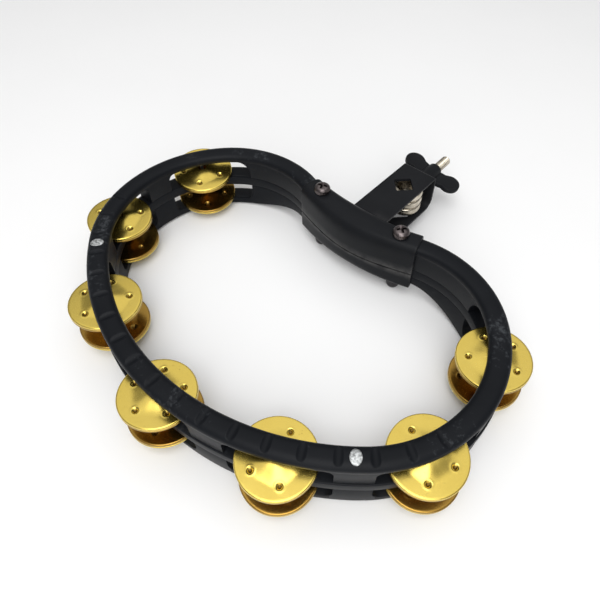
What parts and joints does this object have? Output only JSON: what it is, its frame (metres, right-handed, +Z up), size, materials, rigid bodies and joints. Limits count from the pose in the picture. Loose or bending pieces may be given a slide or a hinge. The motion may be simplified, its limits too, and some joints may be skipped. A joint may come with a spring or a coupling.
{
  "type": "mountable tambourine",
  "caption": "Kidney-shaped mountable tambourine: black rim with paired brass jingles on pins, a clamped back grip, and a rod bracket with eye bolt and wing nut.",
  "frame": {"origin": "middle of the whole object's box in plan, on the level of the clamp nuts' undersides", "axes": "+Y from the rim's front towards the bracket and its bolt, +Z up through the rim, X along the rim's width"},
  "size_m": [0.3216, 0.3265, 0.0593],
  "materials": {
    "rim_plastic": "satin black moulded plastic with light scuffs",
    "coated_steel": "black powder coat, worn on edges",
    "brass": "polished brass with fine scratches",
    "pin_steel": "plain steel pin",
    "black_nickel": "black nickel plate",
    "black_wing": "satin black",
    "nickel": "nickel plate",
    "aluminium": "bright, slightly dulled"
  },
  "bodies": {
    "root": {"clamp_cover_lower": "coated_steel", "clamp_cover_upper": "coated_steel", "clamp_nut_left": "black_nickel", "clamp_nut_right": "black_nickel", "clamp_screw_left": "black_nickel", "clamp_screw_right": "black_nickel", "frame_lower": "rim_plastic", "frame_middle": "rim_plastic", "frame_upper": "rim_plastic", "jingle_pin_1": "pin_steel", "jingle_pin_2": "pin_steel", "jingle_pin_3": "pin_steel", "jingle_pin_4": "pin_steel", "jingle_pin_5": "pin_steel", "jingle_pin_6": "pin_steel", "jingle_pin_7": "pin_steel", "lock_washer_left": "black_nickel", "lock_washer_right": "black_nickel", "mounting_bracket": "coated_steel", "rivet_left": "aluminium", "rivet_right": "aluminium"},
    "eye_bolt": {"eye_bolt": "nickel"},
    "wing_nut": {"wing_nut": "black_wing"},
    "jingle_1_lower_bottom": {"jingle_1_lower_bottom": "brass"},
    "jingle_1_lower_top": {"jingle_1_lower_top": "brass"},
    "jingle_1_upper_bottom": {"jingle_1_upper_bottom": "brass"},
    "jingle_1_upper_top": {"jingle_1_upper_top": "brass"},
    "jingle_2_lower_bottom": {"jingle_2_lower_bottom": "brass"},
    "jingle_2_lower_top": {"jingle_2_lower_top": "brass"},
    "jingle_2_upper_bottom": {"jingle_2_upper_bottom": "brass"},
    "jingle_2_upper_top": {"jingle_2_upper_top": "brass"},
    "jingle_3_lower_bottom": {"jingle_3_lower_bottom": "brass"},
    "jingle_3_lower_top": {"jingle_3_lower_top": "brass"},
    "jingle_3_upper_bottom": {"jingle_3_upper_bottom": "brass"},
    "jingle_3_upper_top": {"jingle_3_upper_top": "brass"},
    "jingle_4_lower_bottom": {"jingle_4_lower_bottom": "brass"},
    "jingle_4_lower_top": {"jingle_4_lower_top": "brass"},
    "jingle_4_upper_bottom": {"jingle_4_upper_bottom": "brass"},
    "jingle_4_upper_top": {"jingle_4_upper_top": "brass"},
    "jingle_5_lower_bottom": {"jingle_5_lower_bottom": "brass"},
    "jingle_5_lower_top": {"jingle_5_lower_top": "brass"},
    "jingle_5_upper_bottom": {"jingle_5_upper_bottom": "brass"},
    "jingle_5_upper_top": {"jingle_5_upper_top": "brass"},
    "jingle_6_lower_bottom": {"jingle_6_lower_bottom": "brass"},
    "jingle_6_lower_top": {"jingle_6_lower_top": "brass"},
    "jingle_6_upper_bottom": {"jingle_6_upper_bottom": "brass"},
    "jingle_6_upper_top": {"jingle_6_upper_top": "brass"},
    "jingle_7_lower_bottom": {"jingle_7_lower_bottom": "brass"},
    "jingle_7_lower_top": {"jingle_7_lower_top": "brass"},
    "jingle_7_upper_bottom": {"jingle_7_upper_bottom": "brass"},
    "jingle_7_upper_top": {"jingle_7_upper_top": "brass"}
  },
  "joints": [
    {"name": "wing_nut_spin", "type": "hinge", "parent": "root", "child": "wing_nut", "pos_m": [0.0042, 0.12085, 0.02855], "axis": [0, 1, 0], "range_deg": [0, 2304]},
    {"name": "eye_bolt_slide", "type": "slide", "parent": "root", "child": "eye_bolt", "axis": [0, 1, 0], "range_m": [-0.008, 0]},
    {"name": "jingle_1_lower_bottom_slide", "type": "slide", "parent": "root", "child": "jingle_1_lower_bottom", "axis": [0, 0, 1], "range_m": [0, 0.00155]},
    {"name": "jingle_1_lower_top_slide", "type": "slide", "parent": "jingle_1_lower_bottom", "child": "jingle_1_lower_top", "axis": [0, 0, 1], "range_m": [0, 0.00155]},
    {"name": "jingle_1_upper_bottom_slide", "type": "slide", "parent": "root", "child": "jingle_1_upper_bottom", "axis": [0, 0, 1], "range_m": [0, 0.00155]},
    {"name": "jingle_1_upper_top_slide", "type": "slide", "parent": "jingle_1_upper_bottom", "child": "jingle_1_upper_top", "axis": [0, 0, 1], "range_m": [0, 0.00155]},
    {"name": "jingle_2_lower_bottom_slide", "type": "slide", "parent": "root", "child": "jingle_2_lower_bottom", "axis": [0, 0, 1], "range_m": [0, 0.00155]},
    {"name": "jingle_2_lower_top_slide", "type": "slide", "parent": "jingle_2_lower_bottom", "child": "jingle_2_lower_top", "axis": [0, 0, 1], "range_m": [0, 0.00155]},
    {"name": "jingle_2_upper_bottom_slide", "type": "slide", "parent": "root", "child": "jingle_2_upper_bottom", "axis": [0, 0, 1], "range_m": [0, 0.00155]},
    {"name": "jingle_2_upper_top_slide", "type": "slide", "parent": "jingle_2_upper_bottom", "child": "jingle_2_upper_top", "axis": [0, 0, 1], "range_m": [0, 0.00155]},
    {"name": "jingle_3_lower_bottom_slide", "type": "slide", "parent": "root", "child": "jingle_3_lower_bottom", "axis": [0, 0, 1], "range_m": [0, 0.00155]},
    {"name": "jingle_3_lower_top_slide", "type": "slide", "parent": "jingle_3_lower_bottom", "child": "jingle_3_lower_top", "axis": [0, 0, 1], "range_m": [0, 0.00155]},
    {"name": "jingle_3_upper_bottom_slide", "type": "slide", "parent": "root", "child": "jingle_3_upper_bottom", "axis": [0, 0, 1], "range_m": [0, 0.00155]},
    {"name": "jingle_3_upper_top_slide", "type": "slide", "parent": "jingle_3_upper_bottom", "child": "jingle_3_upper_top", "axis": [0, 0, 1], "range_m": [0, 0.00155]},
    {"name": "jingle_4_lower_bottom_slide", "type": "slide", "parent": "root", "child": "jingle_4_lower_bottom", "axis": [0, 0, 1], "range_m": [0, 0.00155]},
    {"name": "jingle_4_lower_top_slide", "type": "slide", "parent": "jingle_4_lower_bottom", "child": "jingle_4_lower_top", "axis": [0, 0, 1], "range_m": [0, 0.00155]},
    {"name": "jingle_4_upper_bottom_slide", "type": "slide", "parent": "root", "child": "jingle_4_upper_bottom", "axis": [0, 0, 1], "range_m": [0, 0.00155]},
    {"name": "jingle_4_upper_top_slide", "type": "slide", "parent": "jingle_4_upper_bottom", "child": "jingle_4_upper_top", "axis": [0, 0, 1], "range_m": [0, 0.00155]},
    {"name": "jingle_5_lower_bottom_slide", "type": "slide", "parent": "root", "child": "jingle_5_lower_bottom", "axis": [0, 0, 1], "range_m": [0, 0.00155]},
    {"name": "jingle_5_lower_top_slide", "type": "slide", "parent": "jingle_5_lower_bottom", "child": "jingle_5_lower_top", "axis": [0, 0, 1], "range_m": [0, 0.00155]},
    {"name": "jingle_5_upper_bottom_slide", "type": "slide", "parent": "root", "child": "jingle_5_upper_bottom", "axis": [0, 0, 1], "range_m": [0, 0.00155]},
    {"name": "jingle_5_upper_top_slide", "type": "slide", "parent": "jingle_5_upper_bottom", "child": "jingle_5_upper_top", "axis": [0, 0, 1], "range_m": [0, 0.00155]},
    {"name": "jingle_6_lower_bottom_slide", "type": "slide", "parent": "root", "child": "jingle_6_lower_bottom", "axis": [0, 0, 1], "range_m": [0, 0.00155]},
    {"name": "jingle_6_lower_top_slide", "type": "slide", "parent": "jingle_6_lower_bottom", "child": "jingle_6_lower_top", "axis": [0, 0, 1], "range_m": [0, 0.00155]},
    {"name": "jingle_6_upper_bottom_slide", "type": "slide", "parent": "root", "child": "jingle_6_upper_bottom", "axis": [0, 0, 1], "range_m": [0, 0.00155]},
    {"name": "jingle_6_upper_top_slide", "type": "slide", "parent": "jingle_6_upper_bottom", "child": "jingle_6_upper_top", "axis": [0, 0, 1], "range_m": [0, 0.00155]},
    {"name": "jingle_7_lower_bottom_slide", "type": "slide", "parent": "root", "child": "jingle_7_lower_bottom", "axis": [0, 0, 1], "range_m": [0, 0.00155]},
    {"name": "jingle_7_lower_top_slide", "type": "slide", "parent": "jingle_7_lower_bottom", "child": "jingle_7_lower_top", "axis": [0, 0, 1], "range_m": [0, 0.00155]},
    {"name": "jingle_7_upper_bottom_slide", "type": "slide", "parent": "root", "child": "jingle_7_upper_bottom", "axis": [0, 0, 1], "range_m": [0, 0.00155]},
    {"name": "jingle_7_upper_top_slide", "type": "slide", "parent": "jingle_7_upper_bottom", "child": "jingle_7_upper_top", "axis": [0, 0, 1], "range_m": [0, 0.00155]}
  ],
  "couplings": [
    {"joint": "wing_nut_spin", "follows": "eye_bolt_slide", "rad_per_m": -5026.5}
  ]
}
